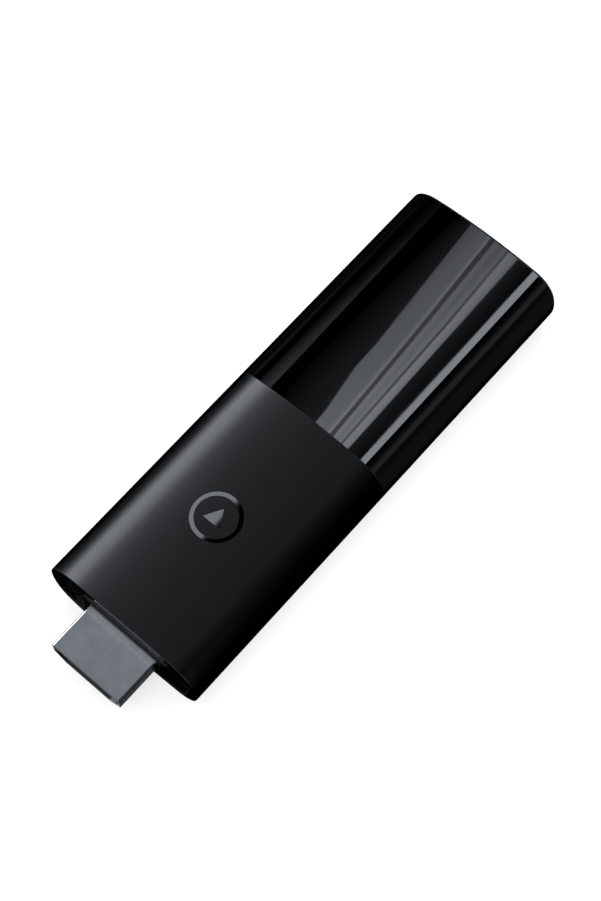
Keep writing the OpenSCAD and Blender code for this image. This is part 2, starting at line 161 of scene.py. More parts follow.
def rectangle(w, h, r, at=(0.0, 0.0), **options):
    """A rounded rectangle's outline about a centre."""
    signs = ((-1, -1), (1, -1), (1, 1), (-1, 1))
    return rounded([(at[0] + s * w / 2, at[1] + t * h / 2, r) for s, t in signs], **options)


# ---------- Meshes ----------

SMOOTH_ANGLE = math.radians(38)

# How far a point may be off the oval, how far past an arc's end, and how far a face may tilt from
# it, and still take the oval's own direction.
SKIN_REACH = 1.5e-6
ARC_SLACK = 1e-4
SKIN_TILT = math.cos(math.radians(20))


def loft(bm, rings, closed=False, caps=(False, False)):
    """Joins rings of equally many points with four-sided faces. closed joins the last ring to the
    first one, and caps says which of the two ends get a face."""
    rows = [[bm.verts.new(p) for p in ring] for ring in rings]
    pairs = list(zip(rows, rows[1:]))
    if closed:
        pairs.append((rows[-1], rows[0]))
    for low, high in pairs:
        for k in range(len(low)):
            bm.faces.new((low[k - 1], low[k], high[k], high[k - 1]))
    for row, wanted in zip((rows[0], rows[-1]), caps):
        if wanted:
            bm.faces.new(row)
    return rows


def fill_between(bm, *rows):
    """Fills the flat region between one loop of vertices and the loops inside it."""
    edges = []
    for row in rows:
        for k in range(len(row)):
            edge = bm.edges.get((row[k - 1], row[k])) or bm.edges.new((row[k - 1], row[k]))
            edges.append(edge)
    bmesh.ops.triangle_fill(bm, use_beauty=True, use_dissolve=False, edges=edges)


def along_y(outline, y, centre_z=MID_Z):
    """The points of an (x, z) outline at a place along the stick."""
    return [Vector((x, y, centre_z + z)) for x, z in outline]


def new_object(bm, name):
    """Ends a bmesh as an object in the scene, with its faces all looking outward."""
    bmesh.ops.recalc_face_normals(bm, faces=bm.faces)
    mesh = bpy.data.meshes.new(name)
    bm.to_mesh(mesh)
    bm.free()
    obj = bpy.data.objects.new(name, mesh)
    bpy.context.scene.collection.objects.link(obj)
    return obj


def cut(obj, cutters):
    """Takes the cutters' shapes out of obj, and removes the cutters from the scene."""
    for cutter in cutters:
        modifier = obj.modifiers.new("cut", "BOOLEAN")
        modifier.operation = "DIFFERENCE"
        modifier.solver = "EXACT"
        modifier.object = cutter
    bpy.context.view_layer.update()
    made = obj.evaluated_get(bpy.context.evaluated_depsgraph_get())
    mesh = bpy.data.meshes.new_from_object(made)
    obj.modifiers.clear()
    obj.data = mesh
    for cutter in cutters:
        bpy.data.objects.remove(cutter)


def skin_normal(x, z, inset):
    """The outward direction at (x, z), measured from the casing's centre, if that is on the oval made
    smaller by inset."""
    if z < SKIN_REACH - MID_Z:
        return Vector((0, 0, -1))
    for cx, cz, r, start, end in (SIDE_ARC, SHOULDER_ARC, CROWN_ARC):
        dx, dz = abs(x) - cx, abs(z) - cz
        on_arc = start - ARC_SLACK <= math.atan2(dz, dx) <= end + ARC_SLACK
        if on_arc and abs(math.hypot(dx, dz) - r + inset) < SKIN_REACH:
            return Vector((math.copysign(dx, x), 0, math.copysign(dz, z))).normalized()
    return None


def shade(mesh, inset=0.0):
    """Smooth shading with crisp edges, and the oval's exact normals wherever a face lies on it."""
    mesh.shade_smooth()
    mesh.set_sharp_from_angle(angle=SMOOTH_ANGLE)
    normals = [corner.vector.copy() for corner in mesh.corner_normals]
    for face in mesh.polygons:
        for loop in face.loop_indices:
            co = mesh.vertices[mesh.loops[loop].vertex_index].co
            exact = skin_normal(co.x, co.z - MID_Z, inset)
            if exact and exact.dot(face.normal) > SKIN_TILT:
                normals[loop] = exact
    mesh.normals_split_custom_set(normals)


def dress(material, *nodes):
    """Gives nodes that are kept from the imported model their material."""
    for name in nodes:
        for slot in frame["nodes"][name].material_slots:
            slot.material = material


def piece(obj, material, slot, *nodes):
    """Makes obj a piece of the product, which stands for the named nodes."""
    obj.data.materials.clear()
    obj.data.materials.append(material)
    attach(obj, "root")
    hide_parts(*nodes)
    return obj


# ---------- Materials ----------

class Surface:
    """A procedural material: a principled shader whose colour, roughness and bump take their detail
    from noise in the object's own coordinates."""

    def __init__(self, name, roughness, metallic=0.0, specular=0.5, ior=1.5):
        self.material = bpy.data.materials.new(name)
        self.material.use_nodes = True
        self.tree = self.material.node_tree
        self.shader = self.tree.nodes["Principled BSDF"]
        self.shader.inputs["Roughness"].default_value = roughness
        self.shader.inputs["Metallic"].default_value = metallic
        self.shader.inputs["Specular IOR Level"].default_value = specular
        self.shader.inputs["IOR"].default_value = ior
        self.place = self.node("ShaderNodeTexCoord").outputs["Object"]

    def node(self, kind, **values):
        """A new node, with some of its own settings."""
        node = self.tree.nodes.new(kind)
        for key, value in values.items():
            setattr(node, key, value)
        return node

    def link(self, output, target):
        self.tree.links.new(output, target)

    def noise(self, size, detail, stretch=(1, 1, 1)):
        """Noise whose features are about size metres across, drawn out by stretch."""
        mapping = self.node("ShaderNodeMapping")
        mapping.inputs["Scale"].default_value = [1 / (size * s) for s in stretch]
        noise = self.node("ShaderNodeTexNoise")
        noise.inputs["Scale"].default_value = 1.0
        noise.inputs["Detail"].default_value = detail
        self.link(self.place, mapping.inputs["Vector"])
        self.link(mapping.outputs["Vector"], noise.inputs["Vector"])
        return noise.outputs["Fac"]

    def spread(self, value, low, high):
        """The middle of a noise's range, mapped to the range from low to high."""
        remap = self.node("ShaderNodeMapRange")
        remap.inputs["From Min"].default_value = 0.3
        remap.inputs["From Max"].default_value = 0.7
        remap.inputs["To Min"].default_value = low
        remap.inputs["To Max"].default_value = high
        self.link(value, remap.inputs["Value"])
        return remap.outputs["Result"]

    def colours(self, value, *stops):
        """Colours the surface with a ramp over a value; each stop is (place, colour)."""
        ramp = self.node("ShaderNodeValToRGB")
        elements = ramp.color_ramp.elements
        while len(elements) < len(stops):
            elements.new(0.5)
        for element, (place, colour) in zip(elements, stops):
            element.position = place
            element.color = (*colour, 1)
        self.link(value, ramp.inputs["Fac"])
        self.link(ramp.outputs["Color"], self.shader.inputs["Base Color"])
        return self

    def roughness(self, value, low, high):
        """Varies the roughness between low and high with a value."""
        self.link(self.spread(value, low, high), self.shader.inputs["Roughness"])
        return self

    def bump(self, *layers):
        """Bump from (value, depth in metres) layers, one over the other."""
        under = None
        for value, depth in layers:
            bump = self.node("ShaderNodeBump")
            bump.inputs["Strength"].default_value = 1.0
            bump.inputs["Distance"].default_value = depth
            self.link(value, bump.inputs["Height"])
            if under:
                self.link(under, bump.inputs["Normal"])
            under = bump.outputs["Normal"]
        self.link(under, self.shader.inputs["Normal"])
        return self


def matt_plastic(name, dark, light, roughness=0.14):
    """Moulded plastic with a fine spark-eroded grain."""
    grain, depth = 0.14 * MM, 0.3e-6
    s = Surface(name, roughness)
    s.colours(s.noise(2.5 * MM, 4), (0.35, dark), (0.65, light))
    s.roughness(s.noise(0.5 * MM, 3), roughness - 0.01, roughness + 0.01)
    return s.bump((s.noise(grain, 2), depth)).material


def gloss_plastic(name, dark, light, roughness=0.03):
    """Polished plastic: a trace of orange peel, faint wiping marks, and colour to its depth."""
    s = Surface(name, roughness, specular=0.55)
    s.colours(s.noise(6 * MM, 2), (0.4, dark), (0.6, light))
    s.roughness(s.noise(3 * MM, 4, stretch=(1, 6, 1)), roughness * 0.7, roughness * 1.6)
    return s.bump((s.noise(8 * MM, 1), 0.12e-6)).material


def brushed_metal(name, dark, light, roughness=0.2, stretch=(1, 30, 1), line=0.06 * MM):
    """Rolled or plated sheet metal with fine lines along one direction."""
    depth = 0.5e-6
    s = Surface(name, roughness, metallic=1.0)
    lines = s.noise(line, 3, stretch=stretch)
    s.colours(s.noise(1.8 * MM, 4), (0.3, dark), (0.7, light))
    s.roughness(lines, roughness - 0.05, roughness + 0.06)
    return s.bump((lines, depth)).material


def mottled(name, dark, light, roughness, size=0.3 * MM, depth=2e-6):
    """A soft or baked body with a mottled colour and a slightly uneven skin."""
    s = Surface(name, roughness)
    s.colours(s.noise(size, 5), (0.3, dark), (0.7, light))
    s.roughness(s.noise(3 * size, 2), roughness - 0.06, roughness + 0.06)
    return s.bump((s.noise(size / 2, 3), depth)).material


def frosted_clear(name, dark, light):
    """Clear plastic with a finely frosted skin and a faint cloudiness."""
    s = Surface(name, 0.18, ior=1.49)
    s.shader.inputs["Transmission Weight"].default_value = 0.85
    s.colours(s.noise(0.4 * MM, 3), (0.3, dark), (0.7, light))
    s.roughness(s.noise(0.2 * MM, 2), 0.14, 0.24)
    return s.bump((s.noise(0.06 * MM, 2), 0.4e-6)).material


def laminate(name, mask, ground, trace):
    """Circuit board: solder mask over copper areas and tracks, which stand up a little under it."""
    s = Surface(name, 0.32)
    s.shader.inputs["Coat Weight"].default_value = 0.5
    s.shader.inputs["Coat Roughness"].default_value = 0.12
    mapping = s.node("ShaderNodeMapping")
    mapping.inputs["Scale"].default_value = (1 / MM, 1 / MM, 1 / MM)
    tracks = s.node("ShaderNodeTexBrick", offset=0.37, squash=1.6, squash_frequency=3)
    sizes = (("Scale", 1.0), ("Mortar Size", 0.05), ("Brick Width", 1.9), ("Row Height", 0.55))
    for socket, value in sizes:
        tracks.inputs[socket].default_value = value
    for socket, colour in (("Color1", mask), ("Color2", ground), ("Mortar", trace)):
        tracks.inputs[socket].default_value = (*colour, 1)
    s.link(s.place, mapping.inputs["Vector"])
    s.link(mapping.outputs["Vector"], tracks.inputs["Vector"])
    s.link(tracks.outputs["Color"], s.shader.inputs["Base Color"])
    s.roughness(s.noise(0.5 * MM, 3), 0.26, 0.4)
    return s.bump((tracks.outputs["Fac"], 12e-6), (s.noise(0.12 * MM, 2), 1e-6)).material


# ---------- The casing ----------

def sleeve():
    """The matt sleeve: a tube with a rounded rim, a power window, a light hole and an emblem pocket."""
    rim, seam = 0.14 * MM, 0.07 * MM
    hold = 0.06 * MM
    profile = rounded([
        (RIM_Y, 0, rim), (SEAM_Y, 0, seam), (SEAM_Y, WALL, 0.05 * MM), (RIM_Y, WALL, 0.12 * MM)
    ], hold=hold)
    bm = bmesh.new()
    loft(bm, [along_y(oval(inset), y) for y, inset in profile], closed=True)
    obj = new_object(bm, "front_sleeve_shell")
    cut(obj, [power_window_cutter(), light_hole_cutter(), *emblem_cutters()])
    shade(obj.data)
    return obj


SOCKET_AT = (SOCKET_LOW + SOCKET_HIGH) / 2
GUIDE_AT = (GUIDE_LOW + GUIDE_HIGH) / 2


def side_x(z):
    """How far the side arc stands out at a height above the floor."""
    return SIDE_CX + math.sqrt(SIDE_R ** 2 - (z - MID_Z) ** 2)


def side_cutter(name, outline_of, edge):
    """A cutter for an opening with a softly rounded edge, in the side with the power socket.
    outline_of(growth) gives the opening's (y, z) outline, grown all round."""
    steps, first, last = 6, math.radians(25), math.radians(90)
    angles = [first + (last - first) * k / steps for k in range(steps + 1)]
    levels = [(edge * (1 - math.sin(a)), edge * (1 - math.cos(a))) for a in angles]
    # One more level, outside the skin, so that the cutter starts clear of it.
    growth, depth = levels[0]
    levels.insert(0, (growth + edge, depth - 1.2 * edge))
    rings = []
    for growth, depth in levels:
        rings.append([Vector((depth - side_x(z), y, z)) for y, z in outline_of(growth)])
    rings.append([Vector((3 * WALL - HALF_W, y, z)) for y, z in outline_of(0)])
    bm = bmesh.new()
    loft(bm, rings, caps=(True, True))
    return new_object(bm, name)


def power_window_cutter():
    w, h, r = 8.6 * MM, 3.4 * MM, 1.0 * MM
    centre = (SOCKET_AT.y, SOCKET_AT.z)

    def outline(growth):
        return rectangle(w + 2 * growth, h + 2 * growth, r + growth, centre, steps=12)

    return side_cutter("power_window_cutter", outline, 0.16 * MM)


def light_hole_cutter():
    r = 0.6 * MM

    def outline(growth):
        return arc(GUIDE_AT.y, GUIDE_AT.z, r + growth, 0, 2 * math.pi, 48)

    return side_cutter("light_hole_cutter", outline, 0.08 * MM)


def cap():
    """The piano-black cap: closed at its far end, with a lip that goes into the sleeve."""
    end_wall, shoulder, lip_t = 1.6 * MM, 1.5 * MM, 1.0 * MM
    far_edge, seam_edge, far_inset = 0.5 * MM, 0.07 * MM, 4.2 * MM
    lip_front, lip_out = CAP_LOW.y, WALL + SLOT_GAP
    lip_in = lip_out + lip_t
    cavity_end, step_y = END_Y - end_wall, SEAM_Y + shoulder
    profile = rounded([
        (cavity_end, far_inset, 0), (cavity_end, WALL, 0.3 * MM), (step_y, WALL, 0.05 * MM),
        (step_y, lip_in, 0.05 * MM), (lip_front, lip_in, 0.1 * MM), (lip_front, lip_out, 0.2 * MM),
        (SEAM_Y, lip_out, 0.03 * MM), (SEAM_Y, 0, seam_edge), (END_Y, 0, far_edge),
        (END_Y, far_inset, 0)
    ], steps=8, hold=0.06 * MM, closed=False)
    bm = bmesh.new()
    loft(bm, [along_y(oval(inset), y) for y, inset in profile], caps=(True, True))
    obj = new_object(bm, "rear_cap_shell")
    shade(obj.data)
    return obj


# ---------- The plug's section, and the end plate round it ----------

PLUG_Z = (PLUG_LOW.z + PLUG_HIGH.z) / 2
PLUG_W = PLUG_HIGH.x - PLUG_LOW.x
PLUG_H = PLUG_HIGH.z - PLUG_LOW.z
PLUG_LOW_W, PLUG_SIDE_H = 9.0 * MM, 2.9 * MM
PLUG_SHEET = 0.35 * MM


def plug_outline(inset, **options):
    """The video plug's section about its centre, made smaller all round by inset: wide side up, both
    lower corners cut off."""
    slope = math.atan2(PLUG_H - PLUG_SIDE_H, (PLUG_W - PLUG_LOW_W) / 2)
    w, top = PLUG_W / 2 - inset, PLUG_H / 2 - inset
    low_w = PLUG_LOW_W / 2 - inset * (1 - math.cos(slope)) / math.sin(slope)
    knee = PLUG_H / 2 - PLUG_SIDE_H + inset * (1 - math.sin(slope)) / math.cos(slope)
    r, low_r = max(0.45 * MM - inset, 0.08 * MM), max(0.7 * MM - inset, 0.2 * MM)
    return rounded([
        (w, top, r), (-w, top, r), (-w, knee, low_r), (-low_w, -top, low_r), (low_w, -top, low_r),
        (w, knee, low_r)
    ], **options)


def end_plate():
    """The black plate round the plug, with a raised collar."""
    collar_out, heel = 0.8 * MM, 0.9 * MM
    collar_w, collar_h, collar_r, edge = 17.8 * MM, 6.6 * MM, 1.6 * MM, 0.65 * MM
    face, front, back = PLATE_LOW.y, PLATE_LOW.y + collar_out, PLATE_HIGH.y - heel
    corners = [(front, 0, 0), (face, 0, edge), (face, edge + 0.05 * MM, 0)]
    profile = rounded(corners, steps=12, closed=False)
    bm = bmesh.new()
    rim = loft(bm, [along_y(oval(WALL + SLOT_GAP / 2), y) for y in (front, back)])
    rings = []
    for y, inset in profile:
        outline = rectangle(collar_w - 2 * inset, collar_h - 2 * inset, collar_r - inset, steps=12)
        rings.append(along_y(outline, y, PLUG_Z))
    collar = loft(bm, rings)
    bore = loft(bm, [along_y(plug_outline(-SLOT_GAP), y, PLUG_Z) for y in (face, back)])
    fill_between(bm, rim[0], collar[0])
    fill_between(bm, collar[-1], bore[0])
    fill_between(bm, rim[-1], bore[-1])
    obj = new_object(bm, "end_plate_and_collar")
    shade(obj.data)
    return obj


# ---------- The emblem ----------

EMBLEM_AT = (EMBLEM_LOW.y + EMBLEM_HIGH.y) / 2
EMBLEM_R = (EMBLEM_HIGH.x - EMBLEM_LOW.x) / 2
EMBLEM_T = 0.3 * MM
RING_W = 0.75 * MM
TRIANGLE_R = 0.48 * EMBLEM_R
TRIANGLE_AT = EMBLEM_AT - 0.1 * TRIANGLE_R
GROOVE = 0.03 * MM


def crown_z(x, depth=0.0):
    """Height of the crown above the floor, less a depth."""
    return MID_Z + CROWN_CZ + math.sqrt((CROWN_R - depth) ** 2 - x * x)


def triangle_outline(growth=0.0):
    """The emblem's triangle, which points to the far end."""
    r, corner_r = TRIANGLE_R + 2 * growth, 0.12 * MM + growth
    angles = [math.radians(90 + 120 * k) for k in range(3)]
    corners = [(r * math.cos(a), r * math.sin(a), corner_r) for a in angles]
    return [(x, TRIANGLE_AT + y) for x, y in rounded(corners, steps=5)]


def circle(r):
    """A circle about the emblem's centre."""
    return arc(0, EMBLEM_AT, r, 0, 2 * math.pi, 160)


def emblem_cutters():
    """Cutters for the pockets that hold the ring and the triangle."""
    crown_drop = 0.15 * MM
    below, above = SLEEVE_HIGH.z - EMBLEM_T - crown_drop, SLEEVE_HIGH.z + MM

    def at(outline, z):
        return [Vector((x, y, z)) for x, y in outline]

    bm = bmesh.new()
    outer, inner = circle(EMBLEM_R + GROOVE), circle(EMBLEM_R - RING_W - GROOVE)
    loft(bm, [at(outer, below), at(outer, above), at(inner, above), at(inner, below)], closed=True)
    ring = new_object(bm, "ring_cutter")
    bm = bmesh.new()
    triangle = triangle_outline(GROOVE)
    loft(bm, [at(triangle, below), at(triangle, above)], caps=(True, True))
    return [ring, new_object(bm, "triangle_cutter")]


def emblem():
    """The inlaid emblem, a ring round a triangle, whose face follows the crown just below it."""
    sunk, edge = 0.012 * MM, 0.04 * MM
    low = EMBLEM_T + 0.1 * MM
    bm = bmesh.new()
    profile = rounded([
        (EMBLEM_R, low, 0), (EMBLEM_R, sunk, edge), (EMBLEM_R - RING_W, sunk, edge),
        (EMBLEM_R - RING_W, low, 0)
    ], steps=4, hold=0.02 * MM)
    loft(bm, [[Vector((x, y, crown_z(x, d))) for x, y in circle(r)] for r, d in profile], closed=True)
    outline = triangle_outline()
    centre = Vector((0, TRIANGLE_AT))
    rings = []
    for share, depth in ((1, low), (1, sunk + edge), (0.995, sunk + 0.3 * edge), (0.97, sunk),
                         (0.7, sunk), (0.4, sunk), (0.1, sunk)):
        points = [centre + (Vector(p) - centre) * share for p in outline]
        rings.append([Vector((p.x, p.y, crown_z(p.x, depth))) for p in points])
    loft(bm, rings, caps=(True, True))
    obj = new_object(bm, "emblem_ring_and_triangle")
    shade(obj.data, sunk)
    return obj


# ---------- The video plug ----------

def plug():
    """The folded steel shell of the video plug."""
    tab_length = 2.2 * MM
    back = PLUG_HIGH.y - tab_length
    profile = rounded([
        (PLUG_LOW.y, 0, 0.12 * MM), (back, 0, 0.05 * MM), (back, PLUG_SHEET, 0.05 * MM),
        (PLUG_LOW.y, PLUG_SHEET, 0.1 * MM)
    ], steps=5, hold=0.05 * MM)
    rings = [along_y(plug_outline(inset, hold=0.04 * MM), y, PLUG_Z) for y, inset in profile]
    bm = bmesh.new()
    loft(bm, rings, closed=True)
    obj = new_object(bm, "video_plug_shell")
    cut(obj, latch_cutters())
    bm = bmesh.new()
    bm.from_mesh(obj.data)
    for side in (-1, 1):
        solder_tab(bm, side * (PLUG_W - PLUG_SHEET) / 2, back - MM, PLUG_HIGH.y)
    bm.to_mesh(obj.data)
    bm.free()
    shade(obj.data)
    return obj


def solder_tab(bm, x, from_y, to_y):
    """A strip of the plug's sheet that runs back from its side into a notch in the board."""
    low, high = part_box("main_board")
    middle = ((from_y + to_y) / 2, (low.z + high.z) / 2)
    length, height, r, edge = to_y - from_y, high.z - low.z, 0.2 * MM, 0.05 * MM
    rings = []
    for out, inset in ((-1, edge), (-0.8, 0), (0.8, 0), (1, edge)):
        outline = rectangle(length - 2 * inset, height - 2 * inset, r, middle)
        rings.append([Vector((x + out * PLUG_SHEET / 2, y, z)) for y, z in outline])
    loft(bm, rings, caps=(True, True))


def latch_cutters():
    """Cutters for the two windows in the plug's narrow side."""
    w, length, r = 1.6 * MM, 1.9 * MM, 0.25 * MM
    off_centre, from_mouth = 3.2 * MM, 3.1 * MM
    made = []
    for side in (-1, 1):
        centre = (side * off_centre, PLUG_LOW.y + from_mouth + length / 2)
        outline = rectangle(w, length, r, centre, steps=6)
        bm = bmesh.new()
        heights = (PLUG_LOW.z - MM, PLUG_LOW.z + 2 * PLUG_SHEET)
        loft(bm, [[Vector((x, y, z)) for x, y in outline] for z in heights], caps=(True, True))
        made.append(new_object(bm, "latch_window_cutter"))
    return made


# ---------- The power socket ----------

SOCKET_W = SOCKET_HIGH.y - SOCKET_LOW.y
SOCKET_H = SOCKET_HIGH.z - SOCKET_LOW.z
SOCKET_SHEET = 0.25 * MM


def socket_outline(inset):
    """The socket's section about its centre, in y and z: wide side down, upper corners cut off."""
    w, h = SOCKET_W / 2 - inset, SOCKET_H / 2 - inset
    cut_off = 0.9 * MM
    corner = cut_off - (2 - math.sqrt(2)) * inset
    r = max(0.3 * MM - inset, 0.05 * MM)
    return rounded([
        (-w, -h, r), (w, -h, r), (w, h - corner, r), (w - corner, h, r), (corner - w, h, r),
        (-w, h - corner, r)
    ], steps=5, hold=0.03 * MM)


def socket():
    """The socket's folded shell, whose mouth flares out behind the window."""
    mouth, back, flare, far_inset = SOCKET_LOW.x, SOCKET_HIGH.x, 0.26 * MM, 1.0 * MM
    profile = rounded([
        (back, far_inset, 0), (back, 0, 0.2 * MM), (mouth + 0.8 * MM, 0, 0.5 * MM),
        (mouth + 0.12 * MM, -flare, 0.05 * MM), (mouth, SOCKET_SHEET - 1.3 * flare, 0.05 * MM),
        (mouth + 0.7 * MM, SOCKET_SHEET, 0.6 * MM), (back - SOCKET_SHEET, SOCKET_SHEET, 0.1 * MM),
        (back - SOCKET_SHEET, far_inset, 0)
    ], steps=6, hold=0.02 * MM, closed=False)
    bm = bmesh.new()
    rings = []
    for x, inset in profile:
        rings.append([Vector((x, SOCKET_AT.y + y, SOCKET_AT.z + z)) for y, z in socket_outline(inset)])
    loft(bm, rings, caps=(True, True))
    obj = new_object(bm, "power_socket_shell")
    cut(obj, [contact_slot_cutter(back)])
    shade(obj.data)
    return obj


def contact_slot_cutter(back):
    """A cutter for the slot in the socket's back wall that the contacts come out of."""
    w, h, r = 4.2 * MM, 1.0 * MM, 0.1 * MM
    outline = rectangle(w, h, r, (SOCKET_AT.y, SOCKET_AT.z - h / 2))
    rings = [[Vector((x, y, z)) for y, z in outline] for x in (back - MM, back + MM)]
    bm = bmesh.new()
    loft(bm, rings, caps=(True, True))
    return new_object(bm, "socket_slot_cutter")


# ---------- The pieces and their materials ----------

charcoal = matt_plastic("matt_charcoal_plastic", (0.0085, 0.0088, 0.0098), (0.0100, 0.0103, 0.0114))
piano = gloss_plastic("piano_black_plastic", (0.0012, 0.0012, 0.0013), (0.0020, 0.0020, 0.0022))
end_black = matt_plastic("satin_black_plastic", (0.0035, 0.0035, 0.0038), (0.005, 0.005, 0.0054), 0.34)
emblem_gloss = gloss_plastic("emblem_gloss", (0.004, 0.004, 0.0045), (0.006, 0.006, 0.0065), 0.05)
nickel = brushed_metal("satin_nickel", (0.40, 0.41, 0.42), (0.47, 0.48, 0.49))

sleeve_piece = piece(sleeve(), charcoal, "matt_casing", "front_sleeve")
cap_piece = piece(cap(), piano, "gloss_casing", "rear_cap")
plate_piece = piece(end_plate(), end_black, "end_plastic", "end_plate")
emblem_piece = piece(emblem(), emblem_gloss, "emblem", "emblem_inlay")
plug_piece = piece(plug(), nickel, "plug_steel", "plug_shell")

black_insulator = matt_plastic("connector_black", (0.006, 0.006, 0.006), (0.010, 0.010, 0.011), 0.38)
gold = brushed_metal("gold_plating", (0.83, 0.60, 0.26), (0.92, 0.69, 0.33), 0.2, line=0.04 * MM)
dress(black_insulator, "plug_insulator", "socket_tongue")
dress(gold, "plug_contacts", "socket_contacts")
socket_nickel = brushed_metal("socket_nickel", (0.55, 0.55, 0.56), (0.65, 0.65, 0.66), 0.3, (30, 1, 1))
piece(socket(), socket_nickel, "socket_steel", "socket_shell")
dress(frosted_clear("frosted_clear_plastic", (0.78, 0.81, 0.84), (0.90, 0.92, 0.94)), "light_guide")
dress(mottled("diode_body", (0.72, 0.68, 0.50), (0.86, 0.83, 0.68), 0.3), "status_led")
dress(matt_plastic("carrier_black_plastic", (0.020, 0.020, 0.022), (0.028, 0.028, 0.030), 0.5),
      "lower_carrier", "upper_carrier")
dress(brushed_metal("zinc_plated_steel", (0.46, 0.47, 0.49), (0.60, 0.60, 0.60), 0.3), "board_screws")
dress(laminate("board_laminate", (0.010, 0.070, 0.045), (0.014, 0.088, 0.055), (0.035, 0.150, 0.085)),
      "main_board")
dress(mottled("moulded_chip_plastic", (0.016, 0.016, 0.018), (0.026, 0.026, 0.028), 0.48, 0.12 * MM),
      "processor", "memory_chips", "flash_chip", "power_chip")
dress(brushed_metal("module_tinned_steel", (0.52, 0.53, 0.54), (0.64, 0.65, 0.66), 0.3),
      "wireless_module")
dress(brushed_metal("crystal_can_steel", (0.58, 0.56, 0.50), (0.68, 0.66, 0.60), 0.2), "crystal")
dress(mottled("ferrite_body", (0.045, 0.045, 0.050), (0.080, 0.080, 0.085), 0.6), "inductors")
dress(mottled("capacitor_ceramic_body", (0.33, 0.21, 0.11), (0.46, 0.31, 0.17), 0.35), "capacitors")
dress(mottled("resistor_ceramic_body", (0.016, 0.016, 0.018), (0.035, 0.035, 0.040), 0.3), "resistors")
dress(brushed_metal("shield_tinned_steel", (0.52, 0.52, 0.51), (0.66, 0.66, 0.65), 0.33),
      "shield_frame", "shield_lid")
dress(mottled("thermal_pad_silicone", (0.30, 0.38, 0.48), (0.42, 0.50, 0.60), 0.75, 0.5 * MM, 8e-6),
      "chip_pad", "lid_pad", "lower_pad")
dress(brushed_metal("plain_aluminium", (0.58, 0.59, 0.61), (0.70, 0.71, 0.73), 0.34, (30, 1, 1)),
      "upper_spreader", "lower_spreader")
dress(brushed_metal("plated_bronze", (0.62, 0.50, 0.26), (0.74, 0.62, 0.36), 0.28),
      "wifi_antenna", "remote_antenna")


# ---------- Studio ----------

# The dark casing shows little but reflections. They come from glowing cards overhead and round the
# stick, which the camera doesn't see, and each card shows in some pieces only. Cards in one plane
# hide each other, so each group of pieces has its level cards on a layer of its own.
COOL_WHITE = (0.93, 1.0, 1.08, 1)
CARD_Z = 1.0
SIDE_CARD_X = 2.45
PANEL_AWAY = 2.5
LAYER = 0.02


def floor():
    """A plain pale floor, partly glowing so that the shadow on it stays faint."""
    half, glow, shade_share = 0.5, 0.68, 0.3
    corners = ((-half, -half), (half, -half), (half, half), (-half, half))
    bm = bmesh.new()
    bm.faces.new([bm.verts.new((x, y, 0)) for x, y in corners])
    obj = new_object(bm, "floor")
    material = bpy.data.materials.new("pale_floor")
    material.use_nodes = True
    shader = material.node_tree.nodes["Principled BSDF"]
    shader.inputs["Base Color"].default_value = (shade_share, shade_share, shade_share, 1)
    shader.inputs["Specular IOR Level"].default_value = 0.0
    shader.inputs["Emission Color"].default_value = (1, 1, 1, 1)
    shader.inputs["Emission Strength"].default_value = glow
    obj.data.materials.append(material)
    obj.visible_glossy = False
    obj.visible_diffuse = False
    obj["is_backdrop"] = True
    return obj


def world():
    """A white surround that only the camera sees."""
    made = bpy.data.worlds.new("studio")
    made.use_nodes = True
    made.node_tree.nodes["Background"].inputs["Color"].default_value = (1, 1, 1, 1)
    made.cycles_visibility.glossy = False
    made.cycles_visibility.diffuse = False
    bpy.context.scene.world = made


def camera():
    """The main view: from above the stick, towards its plug end and its plain long side."""
    place = Vector((0.0809, -0.0881, 0.2876))
    forward = Vector((-0.26395, 0.29295, -0.91897)).normalized()
    upward = Vector((-0.6007, 0.6955, 0.39425))
    right = forward.cross(upward).normalized()
    up = right.cross(forward)
    data = bpy.data.cameras.new("camera")
    data.sensor_width = 36
    data.lens = 77.42
    data.clip_start = 0.01
    obj = bpy.data.objects.new("camera", data)
    bpy.context.scene.collection.objects.link(obj)
    matrix = obj.matrix_world.copy()
    for column, axis in enumerate((right, up, -forward)):
        for row in range(3):
            matrix[row][column] = axis[row]
        matrix[column][3] = place[column]
    obj.matrix_world = matrix
    bpy.context.scene.camera = obj


def light_only(light, pieces):
    """Makes a light or a card light these pieces and nothing else."""
    lit = bpy.data.collections.new(light.name + "_lit")
    for each in pieces:
        lit.objects.link(each)
    light.light_linking.receiver_collection = lit


def soft_light(name, place, size, power, pieces):
    """A large soft light that gives shading and a faint shadow, and no reflection of itself."""
    light = bpy.data.lights.new(name, "AREA")
    light.shape = "DISK"
    light.size = size
    light.energy = power
    obj = bpy.data.objects.new(name, light)
    obj.location = place
    obj.rotation_euler = Vector(place).to_track_quat("Z", "Y").to_euler()
    obj.visible_camera = False
    obj.visible_glossy = False
    bpy.context.scene.collection.objects.link(obj)
    light_only(obj, pieces)


# ---------- Cards ----------

def card_glow():
    """The cards' material: it glows as strongly as the mesh says there, and lets all light through."""
    material = bpy.data.materials.new("card_glow")
    material.use_nodes = True
    nodes, links = material.node_tree.nodes, material.node_tree.links
    nodes.remove(nodes["Principled BSDF"])
    strength = nodes.new("ShaderNodeAttribute")
    strength.attribute_name = "glow"
    glow, clear = nodes.new("ShaderNodeEmission"), nodes.new("ShaderNodeBsdfTransparent")
    both = nodes.new("ShaderNodeAddShader")
    glow.inputs["Color"].default_value = COOL_WHITE
    links.new(strength.outputs["Fac"], glow.inputs["Strength"])
    links.new(glow.outputs["Emission"], both.inputs[0])
    links.new(clear.outputs["BSDF"], both.inputs[1])
    links.new(both.outputs["Shader"], nodes["Material Output"].inputs["Surface"])
    return material


GLOW = card_glow()


